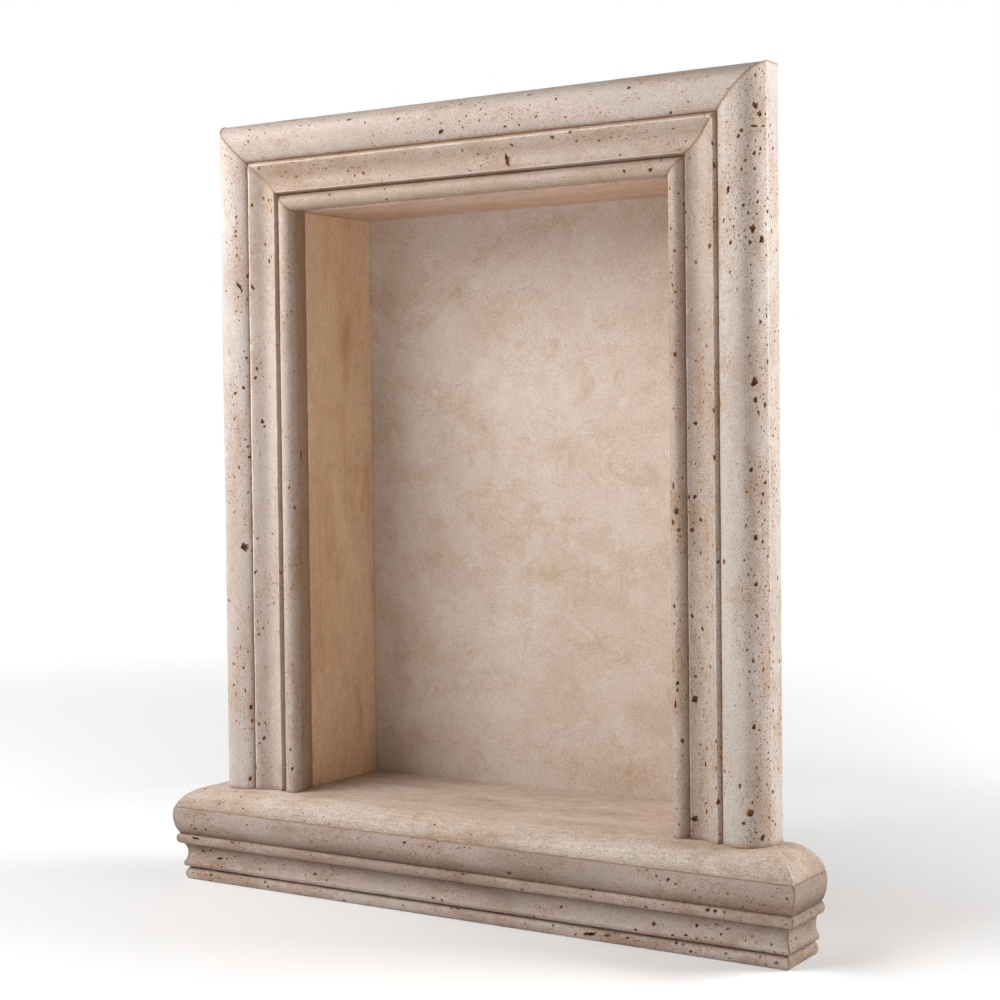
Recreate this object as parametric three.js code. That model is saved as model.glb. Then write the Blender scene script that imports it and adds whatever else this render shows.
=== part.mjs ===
// Travertine shower niche: a moulded stone frame, mitred at its upper corners, stands on a
// moulded sill with mitred returns. Behind it, inside the wall, is a box of honed panels.
//
// Millimetres, +Z up. X runs to the right along the wall and Y runs into it. The wall's face
// is the plane Y = 0, and the origin is the middle of the front sill moulding's flat back.

import * as THREE from 'three';

// Overall sizes
const FRAME_WIDTH = 480; // over the flat outer sides of the two jambs
const JAMB_HEIGHT = 535.5; // from the sill's top to the top of the head
const RECESS_DEPTH = 88.3; // from the wall's face to the face of the back panel
const PANEL_THICKNESS = 12;
const TOP_PANEL_DROP = 3.3; // the ceiling hangs this far below the head's inner edge
const JOINT = 0.3; // open joint between neighbouring stones

// The frame's moulding, member by member from its outer edge to the opening. A depth is
// measured forward from the wall's face.
const SIDE_DEPTH = 17.6; // square outer side
const OVOLO_WIDTH = 32.6;
const OVOLO_DEPTH = 34.5; // at the crown of the ovolo
const QUIRK_DEPTH = 27.8; // sunk line where the ovolo ends
const STEP_WIDTH = 2.8; // slanted step from the quirk up to the fillet's edge
const FILLET_DEPTH = 31.2;
const COVE_WIDTH = 22.6; // long hollow from the fillet's edge to the sharp ridge
const COVE_DEPTH = 24.2; // at the bottom of the hollow
const RIDGE_DEPTH = 27.2;
const GROOVE_WIDTH = 1.6; // narrow groove between the ridge and the bead
const GROOVE_DEPTH = 21.5;
const BEAD_WIDTH = 13.4;
const BEAD_DEPTH = 28.8; // at the crown of the bead
const LIP = 4.6; // the bead overhangs the side panel's face by this

// The sill, member by member from its underside to its top. A reach is measured forward from
// the wall's face on the front, and outward from the same base line on the two ends.
const SILL_REACH = 55.6; // at the widest level of the nose
const SILL_OVERHANG = 32.3; // of the nose beyond each outer side of the frame
const BASE_BEAD_HEIGHT = 8.4;
const BASE_BEAD_REACH = 49;
const QUIRK_HEIGHT = 2.4; // V-shaped line above the base bead
const QUIRK_REACH = 45.6;
const FILLET_HEIGHT = 2.8;
const FILLET_REACH = 49.6;
const COVE_HEIGHT = 15.2;
const COVE_REACH = 47.2; // at the bottom of the hollow
const BEAD_HEIGHT = 8.4;
const BEAD_REACH = 53.7;
const NOSE_DROP = 15.8; // from the widest level of the nose down to the line over the bead
const NOSE_FOOT_REACH = 51.4; // at that line
const NOSE_RISE = 22.2; // from the widest level up to the flat top
const NOSE_ROUND = 27; // how far back from the widest level the top turns flat
const SLAB_THICKNESS = 16.1; // the upper layer of the sill
const WEDGE_TIP = 2; // thickness left where a return runs out against the wall

const CURVE_STEPS = 10; // straight steps in which each curved member is cut

// Sizes that follow
const faceWidth = OVOLO_WIDTH + STEP_WIDTH + COVE_WIDTH + GROOVE_WIDTH + BEAD_WIDTH - LIP;
const openingHalf = FRAME_WIDTH / 2 - faceWidth;
const boxHalf = openingHalf + PANEL_THICKNESS;
const filletLevel = BASE_BEAD_HEIGHT + QUIRK_HEIGHT;
const coveLevel = filletLevel + FILLET_HEIGHT;
const beadLevel = coveLevel + COVE_HEIGHT;
const noseFootLevel = beadLevel + BEAD_HEIGHT;
const widestLevel = noseFootLevel + NOSE_DROP;
const sillTop = widestLevel + NOSE_RISE;
const slabUnderside = sillTop - SLAB_THICKNESS;
const mouldingTop = slabUnderside - JOINT;
const frameTop = sillTop + JAMB_HEIGHT;
const ceiling = frameTop - faceWidth - TOP_PANEL_DROP;
const baseLine = FRAME_WIDTH / 2 + SILL_OVERHANG - SILL_REACH; // where the ends' reach starts
const mitreGap = JOINT / Math.SQRT2; // each side's share of a mitred joint, along its length

const stone = {
  lightFrame: { color: 0xdccab4, roughness: 0.72 },
  greyFrame: { color: 0xd2c2ae, roughness: 0.74 },
  sill: { color: 0xcdb9a4, roughness: 0.7 },
  honedFloor: { color: 0xc9a988, roughness: 0.5 },
  honedSide: { color: 0xb08a68, roughness: 0.5 },
  honedBack: { color: 0xcdb59c, roughness: 0.48 },
};

function namedMesh(name, geometry, { color, roughness }) {
  const material = new THREE.MeshStandardMaterial({ color, roughness, metalness: 0 });
  const mesh = new THREE.Mesh(geometry, material);
  mesh.name = name;
  return mesh;
}

// The frame's section as a shape of (distance in from the outer edge, depth)
function frameSection() {
  const crown = OVOLO_WIDTH * 0.48;
  const filletEdge = OVOLO_WIDTH + STEP_WIDTH;
  const ridge = filletEdge + COVE_WIDTH;
  const hollow = filletEdge + COVE_WIDTH * 0.64;
  const groove = ridge + GROOVE_WIDTH;
  const beadEdge = groove + BEAD_WIDTH;
  const beadCrown = groove + BEAD_WIDTH / 2;
  const section = new THREE.Shape();
  section.moveTo(0, 0);
  section.lineTo(0, SIDE_DEPTH);
  section.bezierCurveTo(crown * 0.19, OVOLO_DEPTH * 0.77, crown * 0.42, OVOLO_DEPTH, crown, OVOLO_DEPTH);
  section.bezierCurveTo(
    crown * 1.5, OVOLO_DEPTH, OVOLO_WIDTH * 0.95, OVOLO_DEPTH * 0.93, OVOLO_WIDTH, QUIRK_DEPTH);
  section.lineTo(filletEdge, FILLET_DEPTH);
  section.bezierCurveTo(
    filletEdge + COVE_WIDTH * 0.26, FILLET_DEPTH * 0.95,
    filletEdge + COVE_WIDTH * 0.38, COVE_DEPTH, hollow, COVE_DEPTH);
  section.quadraticCurveTo(ridge - COVE_WIDTH * 0.14, COVE_DEPTH, ridge, RIDGE_DEPTH);
  section.lineTo(groove, GROOVE_DEPTH);
  section.bezierCurveTo(
    groove + BEAD_WIDTH * 0.12, BEAD_DEPTH * 0.85,
    groove + BEAD_WIDTH * 0.25, BEAD_DEPTH, beadCrown, BEAD_DEPTH);
  section.bezierCurveTo(
    beadCrown + BEAD_WIDTH * 0.27, BEAD_DEPTH, beadEdge, BEAD_DEPTH * 0.92, beadEdge, BEAD_DEPTH * 0.76);
  section.quadraticCurveTo(beadEdge - LIP * 0.2, BEAD_DEPTH * 0.4, faceWidth, 0);
  return section.getPoints(CURVE_STEPS);
}

// The sill's front outline from the underside up to the flat top, as (reach, level) points
function sillOutline() {
  const outline = new THREE.Path();
  const beadMiddle = beadLevel + BEAD_HEIGHT * 0.54;
  outline.moveTo(BASE_BEAD_REACH - 1.8, 0);
  outline.quadraticCurveTo(
    BASE_BEAD_REACH + 1.2, BASE_BEAD_HEIGHT * 0.5, QUIRK_REACH + 1.4, BASE_BEAD_HEIGHT);
  outline.lineTo(QUIRK_REACH, BASE_BEAD_HEIGHT + QUIRK_HEIGHT * 0.3);
  outline.lineTo(FILLET_REACH - 0.3, filletLevel);
  outline.lineTo(FILLET_REACH, coveLevel);
  outline.bezierCurveTo(
    COVE_REACH - 0.8, coveLevel + COVE_HEIGHT * 0.24,
    COVE_REACH - 1.2, beadLevel - COVE_HEIGHT * 0.3, FILLET_REACH - 0.2, beadLevel);
  outline.quadraticCurveTo(BEAD_REACH, beadLevel, BEAD_REACH, beadMiddle);
  outline.quadraticCurveTo(BEAD_REACH, noseFootLevel - 0.4, NOSE_FOOT_REACH, noseFootLevel);
  outline.bezierCurveTo(
    NOSE_FOOT_REACH + (SILL_REACH - NOSE_FOOT_REACH) * 0.7, noseFootLevel + NOSE_DROP * 0.28,
    SILL_REACH, widestLevel - NOSE_DROP * 0.4, SILL_REACH, widestLevel);
  outline.absellipse(SILL_REACH - NOSE_ROUND, widestLevel, NOSE_ROUND, NOSE_RISE, 0, Math.PI / 2);
  return outline.getPoints(CURVE_STEPS);
}

// The part of a convex or rising outline that lies above or below a level, with its cut ends
function clippedOutline(outline, level, keepsAbove) {
  const isKept = ({ y }) => (keepsAbove ? y >= level : y <= level);
  const kept = [];
  outline.forEach((point, i) => {
    const next = outline[i + 1];
    if (isKept(point)) kept.push(point);
    if (next && isKept(point) !== isKept(next)) {
      kept.push(point.clone().lerp(next, (level - point.y) / (next.y - point.y)));
    }
  });
  return kept;
}

// A solid between two copies of a section. place(point, end) gives the corner of the copy at
// end 0 or end 1, so that either end can be square, or cut to a mitre.
function mouldedLength(section, place) {
  const geometry = new THREE.ExtrudeGeometry(new THREE.Shape(section), {
    depth: 1,
    bevelEnabled: false,
  });
  const corners = geometry.attributes.position;
  for (let i = 0; i < corners.count; i++) {
    const point = new THREE.Vector2(corners.getX(i), corners.getY(i));
    corners.setXYZ(i, ...place(point, corners.getZ(i)));
  }
  return facingOut(geometry);
}

// Six times the volume of a closed mesh, negative where its faces point inwards
function signedVolume(corners) {
  const [a, b, c] = [0, 1, 2].map(() => new THREE.Vector3());
  let volume = 0;
  for (let i = 0; i < corners.count; i += 3) {
    a.fromBufferAttribute(corners, i);
    b.fromBufferAttribute(corners, i + 1);
    c.fromBufferAttribute(corners, i + 2);
    volume += a.dot(b.cross(c));
  }
  return volume;
}

// The same mesh with its faces pointing outwards
function facingOut(geometry) {
  const flat = geometry.index ? geometry.toNonIndexed() : geometry;
  const corners = flat.attributes.position;
  if (signedVolume(corners) < 0) {
    const [second, third] = [new THREE.Vector3(), new THREE.Vector3()];
    for (let i = 0; i < corners.count; i += 3) {
      second.fromBufferAttribute(corners, i + 1);
      third.fromBufferAttribute(corners, i + 2);
      corners.setXYZ(i + 1, third.x, third.y, third.z);
      corners.setXYZ(i + 2, second.x, second.y, second.z);
    }
  }
  flat.deleteAttribute('uv');
  flat.computeVertexNormals();
  return flat;
}

// A solid of plans stacked at rising levels, each with the same number of corners
function stackedPlans(levels, planAt) {
  const plans = levels.map(planAt);
  const count = plans[0].length;
  const corners = plans.flatMap((plan, i) => plan.flatMap(({ x, y }) => [x, y, levels[i].y]));
  const faces = [];
  for (let level = 0; level + 1 < plans.length; level++) {
    for (let i = 0; i < count; i++) {
      const a = level * count + i;
      const b = level * count + ((i + 1) % count);
      faces.push(a, b, b + count, a, b + count, a + count);
    }
  }
  const top = (plans.length - 1) * count;
  for (const [a, b, c] of THREE.ShapeUtils.triangulateShape(plans[0], [])) faces.push(a, c, b);
  for (const [a, b, c] of THREE.ShapeUtils.triangulateShape(plans.at(-1), [])) {
    faces.push(top + a, top + b, top + c);
  }
  const geometry = new THREE.BufferGeometry();
  geometry.setAttribute('position', new THREE.Float32BufferAttribute(corners, 3));
  geometry.setIndex(faces);
  return facingOut(geometry);
}

// The slab: a nose on three sides in front of the wall, and a narrower floor behind it
function sillSlab() {
  const planAt = ({ x: reach }) => [
    new THREE.Vector2(-baseLine - reach, -reach),
    new THREE.Vector2(baseLine + reach, -reach),
    new THREE.Vector2(baseLine + reach, 0),
    new THREE.Vector2(boxHalf, 0),
    new THREE.Vector2(boxHalf, RECESS_DEPTH - JOINT),
    new THREE.Vector2(-boxHalf, RECESS_DEPTH - JOINT),
    new THREE.Vector2(-boxHalf, 0),
    new THREE.Vector2(-baseLine - reach, 0),
  ];
  return stackedPlans(clippedOutline(sillOutline(), slabUnderside, true), planAt);
}

// The lower moulding's section, as far back as the given reach
function lowerSection(backReach) {
  const front = clippedOutline(sillOutline(), mouldingTop, false);
  return [
    new THREE.Vector2(backReach, 0),
    ...front,
    new THREE.Vector2(backReach, mouldingTop),
  ];
}

function sillMouldingFront() {
  return mouldedLength(lowerSection(0), ({ x: reach, y: level }, end) => {
    const halfLength = baseLine + reach - mitreGap;
    return [end ? halfLength : -halfLength, -reach, level];
  });
}

// side is 1 for the right return and -1 for the left one
function sillReturn(side) {
  return mouldedLength(lowerSection(WEDGE_TIP), ({ x: reach, y: level }, end) => [
    side * (baseLine + reach),
    end ? 0 : -(reach - mitreGap),
    level,
  ]);
}

function frameJamb(side) {
  return mouldedLength(frameSection(), ({ x: inward, y: depth }, end) => [
    side * (FRAME_WIDTH / 2 - inward),
    -depth,
    end ? frameTop - inward - mitreGap : sillTop + JOINT,
  ]);
}

function frameHead() {
  return mouldedLength(frameSection(), ({ x: inward, y: depth }, end) => {
    const halfLength = FRAME_WIDTH / 2 - inward - mitreGap;
    return [end ? halfLength : -halfLength, -depth, frameTop - inward];
  });
}

// A panel between two opposite corners
function panel(low, high) {
  const size = high.map((value, i) => value - low[i]);
  const middle = high.map((value, i) => (value + low[i]) / 2);
  return facingOut(new THREE.BoxGeometry(...size).translate(...middle));
}

function sidePanel(side) {
  const [inner, outer] = [side * openingHalf, side * boxHalf];
  return panel(
    [Math.min(inner, outer), JOINT, sillTop + JOINT],
    [Math.max(inner, outer), RECESS_DEPTH - JOINT, ceiling - JOINT],
  );
}

function topPanel() {
  return panel(
    [-boxHalf, JOINT, ceiling],
    [boxHalf, RECESS_DEPTH - JOINT, ceiling + PANEL_THICKNESS],
  );
}

function backPanel() {
  return panel(
    [-boxHalf, RECESS_DEPTH, slabUnderside],
    [boxHalf, RECESS_DEPTH + PANEL_THICKNESS, ceiling + PANEL_THICKNESS],
  );
}

const sill = new THREE.Group();
sill.add(
  namedMesh('sill_slab', sillSlab(), stone.honedFloor),
  namedMesh('sill_moulding_front', sillMouldingFront(), stone.sill),
  namedMesh('sill_return_left', sillReturn(-1), stone.sill),
  namedMesh('sill_return_right', sillReturn(1), stone.sill),
);

const frame = new THREE.Group();
frame.add(
  namedMesh('frame_jamb_left', frameJamb(-1), stone.lightFrame),
  namedMesh('frame_jamb_right', frameJamb(1), stone.greyFrame),
  namedMesh('frame_head', frameHead(), stone.lightFrame),
);

const recess = new THREE.Group();
recess.add(
  namedMesh('panel_left', sidePanel(-1), stone.honedSide),
  namedMesh('panel_right', sidePanel(1), stone.honedSide),
  namedMesh('panel_top', topPanel(), stone.honedFloor),
  namedMesh('panel_back', backPanel(), stone.honedBack),
);

// Levels above are counted from the sill's underside
const niche = new THREE.Group();
niche.add(sill, frame, recess);
niche.position.z = -mouldingTop / 2;
niche.updateMatrixWorld(true);

export default niche;
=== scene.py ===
# A travertine shower niche: a mitred stone frame on a moulded sill, round a recess lined with
# honed panels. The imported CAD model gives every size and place. Here each stone is made again
# as a mesh that follows its CAD solid, with worn arrises and open pits cut into it, and gets
# its finish. Lengths are in millimetres until a mesh is made.

import bisect
import math
import random
from types import SimpleNamespace

import bpy
from mathutils import Matrix, Vector, noise
from mathutils.geometry import delaunay_2d_cdt


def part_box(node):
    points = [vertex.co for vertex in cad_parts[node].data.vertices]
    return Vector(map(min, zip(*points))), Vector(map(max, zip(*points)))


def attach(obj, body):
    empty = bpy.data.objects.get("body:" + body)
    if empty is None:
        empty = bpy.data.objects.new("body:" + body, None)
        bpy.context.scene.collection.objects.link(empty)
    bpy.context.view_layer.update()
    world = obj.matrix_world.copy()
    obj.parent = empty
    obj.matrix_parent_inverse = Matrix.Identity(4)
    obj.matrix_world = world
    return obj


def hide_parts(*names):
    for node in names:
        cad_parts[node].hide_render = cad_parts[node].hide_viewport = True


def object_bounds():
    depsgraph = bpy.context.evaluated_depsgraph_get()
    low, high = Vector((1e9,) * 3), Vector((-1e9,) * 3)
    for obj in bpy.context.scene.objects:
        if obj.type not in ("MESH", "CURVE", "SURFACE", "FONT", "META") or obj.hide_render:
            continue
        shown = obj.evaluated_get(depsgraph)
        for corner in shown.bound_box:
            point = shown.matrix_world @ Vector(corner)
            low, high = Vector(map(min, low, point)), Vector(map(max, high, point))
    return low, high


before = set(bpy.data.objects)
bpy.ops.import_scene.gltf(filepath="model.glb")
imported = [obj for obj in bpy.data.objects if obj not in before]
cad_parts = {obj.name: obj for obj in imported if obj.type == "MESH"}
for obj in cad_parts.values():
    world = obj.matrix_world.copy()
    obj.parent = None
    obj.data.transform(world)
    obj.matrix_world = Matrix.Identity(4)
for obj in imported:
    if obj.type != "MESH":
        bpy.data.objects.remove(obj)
cad_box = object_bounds()

METRE = 1000.0
X, Y, Z = 0, 1, 2

# How finely the stone is meshed: its columns across and rows along, those of hidden faces and
# panels, and the pieces of a smooth curve between two corners of the CAD solid
ACROSS_STEP = 1.9
ALONG_STEP = 2.6
HIDDEN_STEP = 9.0
HIDDEN_ROWS = 4
PANEL_STEP = 7.0
CURVE_PIECES = 8

# A section's outline breaks where it turns by this much, or where one facet is so many times
# longer than the next. A stretch shorter than so many arrises gets a single column inside.
# Edges sharper than SHARP_ANGLE are shaded as edges.
CORNER_TURN = math.radians(17)
FACET_CHANGE = 2.5
SHORT_STRETCH = 2.2
SHARP_ANGLE = math.radians(38)

# Wear of the dressed surface: its arrises, its slow wave and ripple, and where they fade out
ARRIS_HALF = 0.95
ARRIS_WEAR = 0.38
CHIP_LENGTH = 9.0
FINE_CHIP_LENGTH = 2.7
WAVE = 0.13
WAVE_LENGTH = 45.0
RIPPLE_LENGTH = 11.0
END_FADE = 5.0

# Beds of open stone: their thickness, that of the finer ones, and their scale along the grain
BED = 22.0
FINE_BED = 6.0
BED_ALONG = 0.35

# Pits by their mean radius: the tiny and the small ones get few rings, those under ARRIS_PIT stay
# off the arrises, bitten ones have smaller pits over their rim, and stained ones darken the stone
# around. Rings go from the rim to the middle, as a share of the way out and of the depth.
TINY_PIT = 0.5
BITTEN_PIT = 0.7
ARRIS_PIT = 0.75
SMALL_PIT = 1.2
STAINED_PIT = 1.4
TINY_RINGS = ((1.0, 0.0), (0.0, 1.0))
SMALL_RINGS = ((1.0, 0.0), (0.8, 0.8), (0.0, 1.0))
LARGE_RINGS = ((1.0, 0.0), (0.9, 0.55), (0.7, 0.9), (0.0, 1.0))

# Scattering pits: the gap that lets one overlap others, the tries for each, the chance of one on
# a hidden face, and the share of nearly round ones
OVERLAP = -99.0
TRIES = 12
HIDDEN_CHANCE = 0.3
ROUND_SHARE = 0.82

# The depth at which a pit is darkest, how far stain spreads from a pit, in its radii, how far
# painted shade with some dirt spreads from a hollow's bottom, how dark the cut ends are, and
# the painted shade on the faces that look away from the room
PIT_DARKEST = 1.6
STAIN_REACH = 1.6
HOLLOW_REACH = 3.4
END_STAIN = 0.75
BACK_SHADE = 0.62

# Joints between the stones, how far their filler lies back and runs into the stones, and where
# the filler under the slab ends
FOOT_JOINT = 0.3
MITRE_JOINT = 0.42
FILLER_RECESS = 0.22
FILLER_OVERLAP = 0.25
FILLER_BACK = -1.0


# Reading the CAD solids

def solid(node):
    """Corners in millimetres and triangles of a CAD node, with its shared corners merged."""
    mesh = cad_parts[node].data
    mesh.calc_loop_triangles()
    place = {}
    corners = []
    index = []
    for vertex in mesh.vertices:
        corner = vertex.co * METRE
        key = tuple(round(value, 2) for value in corner)
        if key not in place:
            place[key] = len(corners)
            corners.append(corner)
        index.append(place[key])
    triangles = []
    for triangle in mesh.loop_triangles:
        ids = [index[i] for i in triangle.vertices]
        if len(set(ids)) == 3:
            triangles.append(ids)
    return corners, triangles


def cut_end(corners, triangles, axis, side):
    """The corners round one end of a moulded length, as links, and the plane of its cut."""
    owners = {}
    for ids in triangles:
        a, b, c = (corners[i] for i in ids)
        normal = (b - a).cross(c - a).normalized()
        for i in range(3):
            owners.setdefault(frozenset((ids[i], ids[i - 1])), []).append((normal, a))
    links = {}
    plane = None
    for edge, faces in owners.items():
        slopes = [normal[axis] * side for normal, _ in faces]
        if len(faces) == 2 and max(slopes) > 0.1 and min(slopes) < 0.01:
            a, b = edge
            links.setdefault(a, []).append(b)
            links.setdefault(b, []).append(a)
            plane = faces[slopes.index(max(slopes))]
    return links, plane


def on_cut(plane, axis):
    """A function that gives where a section point's line meets the plane of an end's cut."""
    normal, corner = plane
    pair = [i for i in range(3) if i != axis]
    reach = normal.dot(corner)

    def place(point):
        rest = sum(normal[i] * value for i, value in zip(pair, point))
        return (reach - rest) / normal[axis]
    return place


def moulded_section(node, axis, first, forward):
    """The closed section of a moulded length as points across the axis, and its two ends."""
    corners, triangles = solid(node)
    links, far_plane = cut_end(corners, triangles, axis, 1)
    near_plane = cut_end(corners, triangles, axis, -1)[1]
    start = max(links, key=lambda i: first(corners[i]))
    here = max(links[start], key=lambda i: forward(corners[i]))
    order = [start]
    while here != start:
        onward = [i for i in links[here] if i != order[-1]]
        order.append(here)
        here = onward[0]
    pair = [i for i in range(3) if i != axis]
    points = [Vector((corners[i][pair[0]], corners[i][pair[1]])) for i in order]
    return points, on_cut(near_plane, axis), on_cut(far_plane, axis)


# Turning a section into columns

def turn_at(before, here, after):
    """The angle through which an outline turns at a point, positive to the left."""
    one = here - before
    two = after - here
    return math.atan2(one.x * two.y - one.y * two.x, one.dot(two))


def is_break(before, here, after):
    """Whether a stretch of the outline ends at a point."""
    lengths = sorted(((here - before).length, (after - here).length))
    return abs(turn_at(before, here, after)) > CORNER_TURN or lengths[1] > FACET_CHANGE * lengths[0]


def smooth_curve(points):
    """A Catmull-Rom curve through points, as a dense polyline."""
    if len(points) == 2:
        return points
    ends = [points[0] * 2 - points[1], *points, points[-1] * 2 - points[-2]]
    dense = []
    for a, b, c, d in zip(ends, ends[1:], ends[2:], ends[3:]):
        for i in range(CURVE_PIECES):
            t = i / CURVE_PIECES
            dense.append(0.5 * (2 * b + (c - a) * t + (2 * a - 5 * b + 4 * c - d) * t ** 2
                                + (3 * b - a - 3 * c + d) * t ** 3))
    return [*dense, points[-1]]


def stations(length, step, arris_before, arris_after):
    """Distances along a stretch at which it gets a column."""
    low = ARRIS_HALF if arris_before else 0.0
    high = ARRIS_HALF if arris_after else 0.0
    if length < SHORT_STRETCH * (low + high) or length < 2 * ARRIS_HALF:
        return [0.0, length / 2, length]
    count = max(1, round((length - low - high) / step))
    inner = [low + (length - low - high) * i / count for i in range(count + 1)]
    return sorted({0.0, *inner, length})


def walk(dense, distances):
    """Points and unit tangents at distances along a polyline."""
    reached = 0.0
    result = []
    pending = list(distances)
    for a, b in zip(dense, dense[1:]):
        span = (b - a).length
        last = b is dense[-1]
        while pending and (pending[0] <= reached + span + 1e-9 or last):
            t = (pending.pop(0) - reached) / span
            result.append((a.lerp(b, min(t, 1.0)), (b - a) / span))
        reached += span
    return result


def columns_round(points, near, far, hides, fixed=(), across_step=ACROSS_STEP):
    """Columns of a section: place across, point, outward normal, wear, edge and ends.

    hides(point, normal) says whether a stretch of the section is out of sight, fixed names
    points that keep a column, and near and far give where a column starts and ends. The
    edge is 1 on an arris, below 0 in a hollow and 0 elsewhere.
    """
    count = len(points)
    turning = sum(turn_at(points[i - 1], points[i], points[(i + 1) % count]) for i in range(count))
    outward = 1 if turning > 0 else -1
    loop = [*points, points[0]]
    breaks = [0]
    for i in range(1, len(loop) - 1):
        if i in fixed or is_break(loop[i - 1], loop[i], loop[i + 1]):
            breaks.append(i)
    breaks.append(len(loop) - 1)
    turns = {}
    for i in breaks:
        inside = 0 < i < len(loop) - 1
        before = loop[i - 1] if inside else loop[-2]
        after = loop[i + 1] if inside else loop[1]
        turns[i] = turn_at(before, loop[i], after) * outward
    columns = []
    across = 0.0
    for start, end in zip(breaks, breaks[1:]):
        dense = smooth_curve(loop[start:end + 1])
        length = sum((b - a).length for a, b in zip(dense, dense[1:]))
        chord = loop[end] - loop[start]
        facing = Vector((chord.y, -chord.x)).normalized() * outward
        hidden = hides((loop[start] + loop[end]) / 2, facing)
        step = HIDDEN_STEP if hidden else across_step
        arris = [abs(turns[i]) > CORNER_TURN for i in (start, end)]
        distances = stations(length, step, *arris)
        for distance, (point, tangent) in zip(distances, walk(dense, distances)):
            normal = Vector((tangent.y, -tangent.x)) * outward
            at_end = distance in (distances[0], distances[-1])
            corner = turns[start if distance == distances[0] else end] if at_end else 0.0
            wear = ARRIS_WEAR if corner > CORNER_TURN else 0.0
            columns.append(SimpleNamespace(
                across=across + distance, point=point, normal=normal, wear=wear,
                crease=at_end and abs(corner) > CORNER_TURN,
                arris=abs(corner) > CORNER_TURN, hidden=hidden and not at_end,
                edge=float((corner > CORNER_TURN) - (corner < -CORNER_TURN)),
                wave=0.0 if hidden else 1.0, near=near(point), far=far(point)))
        across += length
    return merged_columns(columns)


def merged_columns(columns):
    """One column where two stretches meet, with painted shade round each hollow."""
    merged = []
    for column in columns:
        last = merged[-1] if merged else None
        if last and abs(last.across - column.across) < 1e-6:
            last.normal = (last.normal + column.normal).normalized()
            last.wave = min(last.wave, column.wave)
            last.hidden = last.hidden and column.hidden
        else:
            merged.append(column)
    first, last = merged[0], merged[-1]
    first.normal = (first.normal + last.normal).normalized()
    last.normal = first.normal.copy()
    last.point = first.point.copy()
    first.wave = last.wave = min(first.wave, last.wave)
    last.near, last.far = first.near, first.far
    for column in merged:
        # Arrises of faces out of sight get no painted highlight
        if column.wave == 0.0:
            column.edge = min(column.edge, 0.0)
        # Painted shade with some dirt spreads out from each hollow
        for other in merged:
            away = abs(column.across - other.across)
            if other.edge < 0 < away < HOLLOW_REACH and column.edge < 1:
                column.edge = min(column.edge, 0.8 * (away / HOLLOW_REACH - 1))
    return merged


# Pits

def make_pit(rng, across, along, length, width, turn=0.0):
    """An irregular hole, longest along the grain unless it is turned."""
    size = math.sqrt(length * width) / 2
    lobes = [(k, rng.uniform(0.08, 0.24) / k ** 0.5, rng.uniform(0, math.tau)) for k in (2, 3, 5)]
    depth = size * rng.uniform(0.6, 1.2)
    if size < TINY_PIT:
        steps, rings = 6, TINY_RINGS
    elif size < SMALL_PIT:
        steps, rings = 9, SMALL_RINGS
    else:
        lobes.append((7, rng.uniform(0.05, 0.12), rng.uniform(0, math.tau)))
        steps, rings = 12 + int(size * 3), LARGE_RINGS
        depth *= 1.25
    return SimpleNamespace(
        across=across, along=along, half=(width / 2, length / 2), turn=turn, lobes=lobes,
        steps=steps, rings=rings, size=size, start=rng.uniform(0, math.tau),
        reach=max(width, length) / 2 * 1.45, depth=depth)


def pit_radius(pit, angle):
    """A pit's rim on its way round, as a share of a plain oval's."""
    return 1 + sum(amount * math.cos(k * angle + phase) for k, amount, phase in pit.lobes)


def pit_point(pit, angle, share):
    """A point of a ring round a pit, at a share of the way out to its rim."""
    radius = pit_radius(pit, angle) * share
    x = radius * pit.half[0] * math.cos(angle)
    y = radius * pit.half[1] * math.sin(angle)
    c, s = math.cos(pit.turn), math.sin(pit.turn)
    return pit.across + c * x - s * y, pit.along + s * x + c * y


def pit_share(pit, across, along):
    """How far out a place lies from a pit's middle, 1 on its rim."""
    dx, dy = across - pit.across, along - pit.along
    c, s = math.cos(pit.turn), math.sin(pit.turn)
    x, y = (c * dx + s * dy) / pit.half[0], (c * dy - s * dx) / pit.half[1]
    return math.hypot(x, y) / pit_radius(pit, math.atan2(y, x))


def pit_depth(pit, share):
    """The depth of a pit at a share of the way out to its rim."""
    for (outer, shallow), (inner, deep) in zip(pit.rings, pit.rings[1:]):
        if share >= inner:
            t = (outer - share) / (outer - inner)
            return max(0.0, shallow + (deep - shallow) * t) * pit.depth
    return pit.depth


class PitMap:
    """Pits by the squares that they reach over."""

    SQUARE = 5.0

    def __init__(self):
        self.squares = {}
        self.pits = []

    def cells(self, pit, margin):
        """The squares that a pit and a margin round it reach over."""
        reach = pit.reach + margin
        low = [math.floor((value - reach) / self.SQUARE) for value in (pit.across, pit.along)]
        high = [math.floor((value + reach) / self.SQUARE) for value in (pit.across, pit.along)]
        for i in range(low[0], high[0] + 1):
            for j in range(low[1], high[1] + 1):
                yield i, j

    def add(self, pit):
        self.pits.append(pit)
        margin = STAIN_REACH * pit.size if pit.size > STAINED_PIT else 1.0
        for cell in self.cells(pit, margin):
            self.squares.setdefault(cell, []).append(pit)

    def near(self, across, along):
        """The pits that reach over a place, or come close to it."""
        cell = (math.floor(across / self.SQUARE), math.floor(along / self.SQUARE))
        return self.squares.get(cell, ())

    def is_clear(self, pit, gap):
        """Whether a pit stays a gap away from all others."""
        for cell in self.cells(pit, gap):
            for other in self.squares.get(cell, ()):
                away = math.hypot(pit.across - other.across, pit.along - other.along)
                if away < pit.reach + other.reach + gap:
                    return False
        return True


# Stones

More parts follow.
